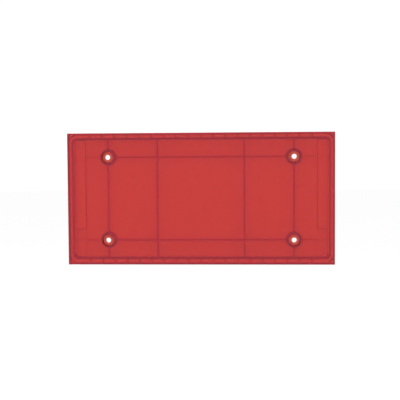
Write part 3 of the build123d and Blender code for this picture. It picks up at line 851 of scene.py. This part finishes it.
def gauze(
    name: str, middle: Place, half_width: float, half_height: float, pitch: float, is_round: bool
) -> None:
    """Makes a flat woven gauze of crossing threads.

    Args:
        name: The piece's name.
        middle: The middle of the gauze, and which way it faces.
        half_width: Half its width in millimetres.
        half_height: Half its height.
        pitch: The distance between threads.
        is_round: Whether its outline is an ellipse instead of a rectangle.
    """
    turned = Euler(middle.rotation()).to_matrix()
    places: list[Place] = []
    for turn, run, cross in ((0.0, half_width, half_height), (90.0, half_height, half_width)):
        count = int(cross / pitch)
        for number in range(-count, count + 1):
            step = number * pitch
            half = run * math.sqrt(max(1 - (step / cross) ** 2, 0.0)) if is_round else run
            angle = math.radians(turn)
            across = turned @ Vector((-step * math.sin(angle), step * math.cos(angle), 0.0))
            x, distance, z = middle.x + across.x, middle.distance - across.y, middle.z + across.z
            places.append(Place(x, distance, z, middle.facing, middle.turn + turn, max(2 * half, pitch)))
    Thread(1.0, GAUZE_THREAD).spread(name, places, GAUZE, "base", "black_plastic")


# ---- dressing -----------------------------------------------------------------------------------
def dress(finish: Finish, *nodes: str) -> None:
    """Gives the finish to CAD nodes.

    Args:
        finish: The finish.
        nodes: The nodes' names.
    """
    for node in nodes:
        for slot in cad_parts[node].material_slots:
            slot.material = finish.material()
        LOG.info("dressed %s in %s", node, finish.name)


@dataclass
class FrontCover:
    """The translucent cover and what lifts off with it."""

    def build(self) -> None:
        """Dresses the moulding, its seal, the light guide, the film and the tapes."""
        dress(CLEAR_RED, "front_cover")
        dress(SILICONE, "cover_gasket")
        dress(OPAL_GUIDE, "light_guide")
        dress(WHITE_FILM, "guide_reflector")
        dress(EDGE_FOIL, "guide_edge_tapes")


@dataclass
class RearBase:
    """The base and its seals."""

    floor: float = 3.5
    mark: Ring = Ring(2.6, 0.14)
    stamp_x: float = -62.0
    stamp_rim: Ring = Ring(5.0, 0.09)
    stamp_spoke: Outline = Outline(3.4, 0.4, 0.2, 0.12)
    stamp_spokes: int = 6
    gauze_z: float = 49.7
    gauze_distance: float = 10.5
    gauze_half_width: float = 86.0
    gauze_half_depth: float = 3.0
    gauze_pitch: float = 0.9

    def build(self) -> None:
        """Dresses the moulding and its seals, and adds its marks and the gauze behind the louvres."""
        dress(RED_ABS, "rear_base")
        dress(BLACK_FOAM, "wall_gasket")
        dress(BLACK_RUBBER, "cable_grommet")
        dress(SILICONE, "screw_seals")
        inside = [Place(x, self.floor, z) for x in (-88.0, -68.0, 70.0, 88.0) for z in (-15.0, 25.0)]
        outside = [
            Place(x, BACK_SUNK, z, Facing.BACK) for x in (-40.0, 0.0, 40.0) for z in (-28.0, 0.0, 28.0)
        ]
        self.mark.spread("ejector_marks", inside + outside, RED_ABS, "base", "red_body")
        turns = [180.0 / self.stamp_spokes * number for number in range(self.stamp_spokes)]
        spokes = [Place(self.stamp_x, BACK_SUNK, 0.0, Facing.BACK, turn) for turn in turns]
        self.stamp_rim.spread("mould_stamp_rim", spokes[:1], RED_ABS, "base", "red_body")
        self.stamp_spoke.spread("mould_stamp_spokes", spokes, RED_ABS, "base", "red_body")
        for side, word in ((1, "upper"), (-1, "lower")):
            middle = Place(0.0, self.gauze_distance, side * self.gauze_z, Facing.UP)
            reach = (self.gauze_half_width, self.gauze_half_depth)
            gauze(f"{word}_louvre_gauze", middle, *reach, self.gauze_pitch, False)


@dataclass
class LedBars:
    """The two upright LED bars."""

    face_x: float = 97.2  # inner face of the boards
    case: float = 1.8  # height of an LED's case
    pad_step: float = 2.9
    distance: float = 19.9
    count: int = 8
    pitch: float = 8.0
    middle_z: float = 11.5
    window: Dome = Dome(1.0, 0.16)
    pad: Pad = Pad(1.6, 0.7, 0.15, 0.06)
    film: Pad = Pad(4.2, 72.0, 0.6, 0.12)
    film_x: float = 102.2
    film_z: float = 11.2
    film_distance: float = 20.9
    foot: Pad = Pad(1.8, 21.0, 0.6, 0.12)
    foot_x: float = 103.45
    foot_z: float = -35.3

    def build(self) -> None:
        """Dresses the carriers, boards, LEDs and leads, and adds the films beside the carriers."""
        dress(WHITE_ABS, "led_carrier_left", "led_carrier_right")
        dress(WHITE_MASK, "led_board_left", "led_board_right")
        dress(LED_CASE, "led_chips_left", "led_chips_right")
        dress(WHITE_LEAD, "led_leads_left", "led_leads_right")
        for name, strip, reach, z in (
            ("end_films", self.film, self.film_x, self.film_z),
            ("end_film_feet", self.foot, self.foot_x, self.foot_z),
        ):
            places = [Place(x, self.film_distance, z) for x in (-reach, reach)]
            strip.spread(name, places, WHITE_FILM, "base", "white_plastic")
        self.add_leds()

    def add_leds(self) -> None:
        """Adds the LEDs' windows and the pads that they are soldered to."""
        pads: list[Place] = []
        windows: list[Place] = []
        for facing, side in ((Facing.LEFT, 1), (Facing.RIGHT, -1)):
            for number in range(self.count):
                z = self.middle_z + (number - (self.count - 1) / 2) * self.pitch
                windows.append(Place(side * (self.face_x - self.case), self.distance, z, facing))
                for step in (-self.pad_step, self.pad_step):
                    pads.append(Place(side * self.face_x, self.distance, z + step, facing))
        self.window.spread("led_windows", windows, PHOSPHOR, "base", "led")
        self.pad.spread("led_pads", pads, TIN, "base", "solder")


@dataclass
class PiezoHorn:
    """The piezo horn."""

    x: float = -42.0
    front: float = 15.5
    gauze_distance: float = 13.2
    gauze_radius: float = 14.5
    gauze_pitch: float = 0.8
    rings: tuple[float, ...] = (6.0, 8.0, 15.0, 18.0)
    ring_line: float = 0.14

    def build(self) -> None:
        """Dresses the horn, its screws and its leads, and adds the gauze and the lid's rings."""
        dress(BLACK_NYLON, "horn_housing", "horn_lid")
        dress(BRASS, "piezo_disc")
        dress(SILVERED, "piezo_ceramic")
        dress(ZINC, "horn_screws")
        dress(RED_LEAD, "horn_lead_red")
        dress(BLACK_LEAD, "horn_lead_black")
        dress(SOLDER, "solder_joints")
        behind, on_lid = Place(self.x, self.gauze_distance, 0.0), Place(self.x, self.front, 0.0)
        gauze("horn_gauze", behind, self.gauze_radius, self.gauze_radius, self.gauze_pitch, True)
        for radius in self.rings:
            ring = Ring(radius, self.ring_line)
            ring.spread(f"horn_ring_{radius:.0f}", [on_lid], BLACK_NYLON, "base", "black_plastic")


@dataclass
class ControlBoard:
    """The control board and what stands on it."""

    front: float = 8.6
    can_z: tuple[float, ...] = (33.5, 23.5)
    can_end: float = 23.0
    can_distance: float = 12.8  # middle of the cans
    chip_pitch: float = 1.1
    via_count: int = 90
    switch_front: float = 13.6
    tone_middle: tuple[float, float] = (8.0, -35.0)
    tone_marks: int = 8
    tone_reach: float = 4.5
    # x, z, half width and half height of what the vias keep clear of
    occupied: tuple[tuple[float, float, float, float], ...] = (
        (9.0, -4.0, 8.5, 6.5),
        (38.5, -0.5, 8.5, 5.0),
        (40.0, 28.0, 7.5, 7.5),
        (57.5, 0.0, 7.0, 15.5),
        (30.0, -35.0, 10.5, 5.5),
        (8.0, -35.0, 6.5, 6.5),
        (13.0, 28.5, 14.5, 10.5),
        (30.5, 14.0, 9.5, 5.5),
        (-8.0, 0.0, 3.5, 5.0),
        (-8.0, 32.0, 3.5, 5.0),
        (60.5, 19.5, 3.5, 5.0),
        (4.0, 14.0, 12.0, 3.0),
        (31.0, -14.0, 11.0, 3.0),
        (16.0, -20.0, 22.0, 2.5),
        (-7.5, -40.5, 4.5, 4.5),
        (-7.5, 40.5, 4.5, 4.5),
        (59.5, -40.5, 4.5, 4.5),
        (59.5, 40.5, 4.5, 4.5),
        (48.0, -26.0, 2.5, 7.0),
        (20.0, 43.0, 10.5, 2.5),
    )

    def build(self) -> None:
        """Dresses the board and its parts."""
        dress(GREEN_MASK, "main_board")
        dress(ZINC, "board_screws")
        dress(GREEN_PBT, "terminal_block")
        dress(NICKEL, "terminal_screws")
        dress(BRASS, "terminal_clamps")
        dress(SLEEVE, "storage_capacitors")
        dress(FERRITE, "power_inductor")
        dress(BLACK_EPOXY, "controller_chip", "bridge_rectifier", "power_transistors")
        dress(CHIP_CERAMIC, "small_parts")
        dress(CREAM_NYLON, "connectors")
        dress(BLACK_NYLON, "candela_body")
        dress(WHITE_ABS, "candela_slider", "tone_rotor")
        dress(BLUE_PBT, "tone_body")
        self.add_legs()
        self.add_print()
        self.add_pads()
        self.add_capacitor_ends()
        self.add_scales()

    def add_legs(self) -> None:
        """Gives the packages their legs."""
        seat = self.front + 0.02
        rows = self.steps(-4.0, 8, self.chip_pitch)
        chip = [Place(x, seat, z, Facing.FRONT, turn) for x, turn in ((13.9, 0), (4.1, 180)) for z in rows]
        Leg(1.7, 0.7, 0.14, 0.42).spread("chip_legs", chip, TIN, "base", "solder")
        power = [Place(42.9, seat, -2.5, turn=0), Place(42.9, seat, 1.5, turn=0)]
        power += [Place(34.1, seat, z, turn=180) for z in (-2.5, 1.5)]
        power += [Place(x + offset, seat, 10.1, turn=-90) for x in (22.0, 32.0) for offset in (1.0, 5.5)]
        Leg(2.6, 1.1, 0.3, 0.9).spread("power_legs", power, TIN, "base", "solder")
        tabs = [Place(x + 3.25, self.front, 16.9) for x in (22.0, 32.0)]
        Pad(5.4, 2.2, 0.2, 0.5).spread("transistor_tabs", tabs, TIN, "base", "solder")

    def add_print(self) -> None:
        """Draws the white outlines round the parts."""
        boxes = {
            "chip": (9.0, -4.0, 15.4, 11.4),
            "rectifier": (38.5, -0.5, 15.0, 8.4),
            "inductor": (40.0, 28.0, 13.4, 13.4),
            "terminals": (57.5, 0.0, 12.2, 29.2),
            "candela": (30.0, -35.0, 19.4, 9.4),
            "tone": (8.0, -35.0, 11.4, 11.4),
            "capacitors": (13.0, 28.5, 22.4, 19.4),
        }
        for name, (x, z, width, height) in boxes.items():
            outline = Outline(width, height, 0.16, 0.04)
            outline.spread(f"print_{name}", [Place(x, self.front, z)], WHITE_INK, "base", "white_board")
        notches = [Place(5.2, self.front + 1.5, 0.2), Place(35.2, self.front + 2.6, 2.0)]
        Ring(0.45, 0.06).spread("pin_one_marks", notches, BLACK_EPOXY, "base", "black_package")

    def add_pads(self) -> None:
        """Scatters the vias, and sets the test pads and the rings round the screws."""
        maker = random.Random(7)
        vias: list[Place] = []
        while len(vias) < self.via_count:
            x, z = round(maker.uniform(-10.0, 62.0), 1), round(maker.uniform(-43.0, 43.0), 1)
            if not any(abs(x - mx) < dx and abs(z - mz) < dz for mx, mz, dx, dz in self.occupied):
                vias.append(Place(x, self.front, z))
        Ring(0.32, 0.1).spread("vias", vias, GOLD, "base", "brass")
        tests = [Place(48.0, self.front, z) for z in self.steps(-26.0, 4, 3.0)]
        tests += [Place(x, self.front, 43.0) for x in self.steps(20.0, 6, 3.0)]
        Pad(1.5, 1.5, 0.7, 0.05).spread("test_pads", tests, GOLD, "base", "brass")
        screws = [Place(x, self.front, z) for x in (-7.5, 59.5) for z in (-40.5, 40.5)]
        Ring(3.2, 0.12).spread("screw_lands", screws, TIN, "base", "solder")

    def add_capacitor_ends(self) -> None:
        """Adds the capacitors' aluminium ends, their vents and their leads."""
        ends = [Place(self.can_end, self.can_distance, z, Facing.RIGHT) for z in self.can_z]
        Pad(6.4, 6.4, 3.1, 0.12).spread("capacitor_ends", ends, ALUMINIUM, "base", "plated_steel")
        face = self.can_end + 0.12
        vents = [
            Place(face, self.can_distance, z, Facing.RIGHT, turn) for z in self.can_z for turn in (45.0, 135.0)
        ]
        Outline(4.0, 0.2, 0.12, 0.08).spread("capacitor_vents", vents, ALUMINIUM, "base", "plated_steel")
        leads = [Place(3.1, self.front, z + step, turn=180) for z in self.can_z for step in (-1.2, 1.2)]
        Leg(2.4, 4.1, 0.5, 0.5).spread("capacitor_leads", leads, TIN, "base", "solder")

    def add_scales(self) -> None:
        """Marks the switches' positions."""
        x, z = self.tone_middle
        dots: list[Place] = []
        for number in range(self.tone_marks):
            angle = math.radians(90.0 - 360.0 / self.tone_marks * number)
            across, up = self.tone_reach * math.cos(angle), self.tone_reach * math.sin(angle)
            dots.append(Place(x + across, self.switch_front, z + up))
        Dome(0.24, 0.06).spread("tone_marks", dots, WHITE_INK, "base", "white_board")
        bars = [Place(26.25 + 2.5 * number, self.switch_front, -32.6) for number in range(4)]
        Pad(0.3, 1.0, 0.1, 0.04).spread("candela_marks", bars, WHITE_INK, "base", "white_board")

    @staticmethod
    def steps(middle: float, count: int, pitch: float) -> list[float]:
        """Evenly spaced values about a middle."""
        return [middle + (number - (count - 1) / 2) * pitch for number in range(count)]


# ---- studio -------------------------------------------------------------------------------------
@dataclass
class Studio:
    """The floor, the light and the camera."""

    floor_z: float = -0.30
    floor_side: float = 14.0
    sky: float = 1.05
    key_watts: float = 9.0
    target: tuple[float, float, float] = (-0.0003, -0.03, -0.00092)
    distance: float = 0.70007
    azimuth: float = 3.192  # degrees towards +X from straight in front
    elevation: float = 3.14
    roll: float = -0.36
    lens: float = 78.09
    sensor: float = 36.0
    key_place: tuple[float, float, float] = (-0.9, -1.1, 1.3)
    key_side: float = 1.2

    def build(self) -> None:
        """Makes the floor, the sky, the lamps and the camera."""
        self.make_floor()
        self.make_sky()
        self.make_lamp("key", self.key_place, self.key_side, self.key_watts)
        self.make_camera()
        view = bpy.context.scene.view_settings
        view.view_transform = "Standard"
        view.look = "None"

    def make_floor(self) -> None:
        """Makes the pale floor."""
        bm = bmesh.new()
        bmesh.ops.create_grid(bm, x_segments=4, y_segments=4, size=self.floor_side / 2)
        bmesh.ops.translate(bm, verts=bm.verts, vec=(0.0, 0.0, self.floor_z))
        mesh = bpy.data.meshes.new("floor")
        bm.to_mesh(mesh)
        bm.free()
        floor = bpy.data.objects.new("floor", mesh)
        bpy.context.collection.objects.link(floor)
        shader = Shader("pale_floor")
        shader.put("Base Color", (0.93, 0.93, 0.93))
        shader.put("Specular IOR Level", 0.0)
        shader.put("Roughness", 0.9)
        floor.data.materials.append(shader.material)

    def make_sky(self) -> None:
        """Makes the even white surround."""
        world = bpy.data.worlds.new("studio")
        world.use_nodes = True
        background = world.node_tree.nodes["Background"]
        background.inputs["Color"].default_value = (1.0, 1.0, 1.0, 1.0)
        background.inputs["Strength"].default_value = self.sky
        bpy.context.scene.world = world

    def make_lamp(self, name: str, place: tuple[float, float, float], side: float, watts: float) -> None:
        """Makes one soft square lamp that faces the object.

        Args:
            name: The lamp's name.
            place: Where it hangs.
            side: The length of its side.
            watts: Its power.
        """
        data = bpy.data.lights.new(name, "AREA")
        data.size = side
        data.energy = watts
        lamp = bpy.data.objects.new(name, data)
        lamp.location = place
        lamp.rotation_euler = (Vector((0, 0, 0)) - Vector(place)).to_track_quat("-Z", "Y").to_euler()
        lamp.visible_camera = False
        bpy.context.collection.objects.link(lamp)

    def make_camera(self) -> None:
        """Makes the camera, in front of the object, a little above it and to its right."""
        azimuth, elevation = math.radians(self.azimuth), math.radians(self.elevation)
        out = Vector(
            (
                math.sin(azimuth) * math.cos(elevation),
                -math.cos(azimuth) * math.cos(elevation),
                math.sin(elevation),
            )
        )
        data = bpy.data.cameras.new("camera")
        data.lens = self.lens
        data.sensor_width = self.sensor
        data.clip_start = 0.01
        data.clip_end = 50.0
        camera = bpy.data.objects.new("camera", data)
        turn = (-out).to_track_quat("-Z", "Y").to_matrix() @ Matrix.Rotation(math.radians(self.roll), 3, "Z")
        camera.matrix_world = Matrix.Translation(Vector(self.target) + out * self.distance) @ turn.to_4x4()
        bpy.context.collection.objects.link(camera)
        bpy.context.scene.camera = camera


def main() -> None:
    """Builds every sub-assembly and the studio."""
    logging.basicConfig(level=logging.INFO, format="%(message)s")
    for part in (FrontCover(), RearBase(), LedBars(), PiezoHorn(), ControlBoard(), Studio()):
        part.build()
        LOG.info("built %s", type(part).__name__)


if __name__ == "__main__":
    main()
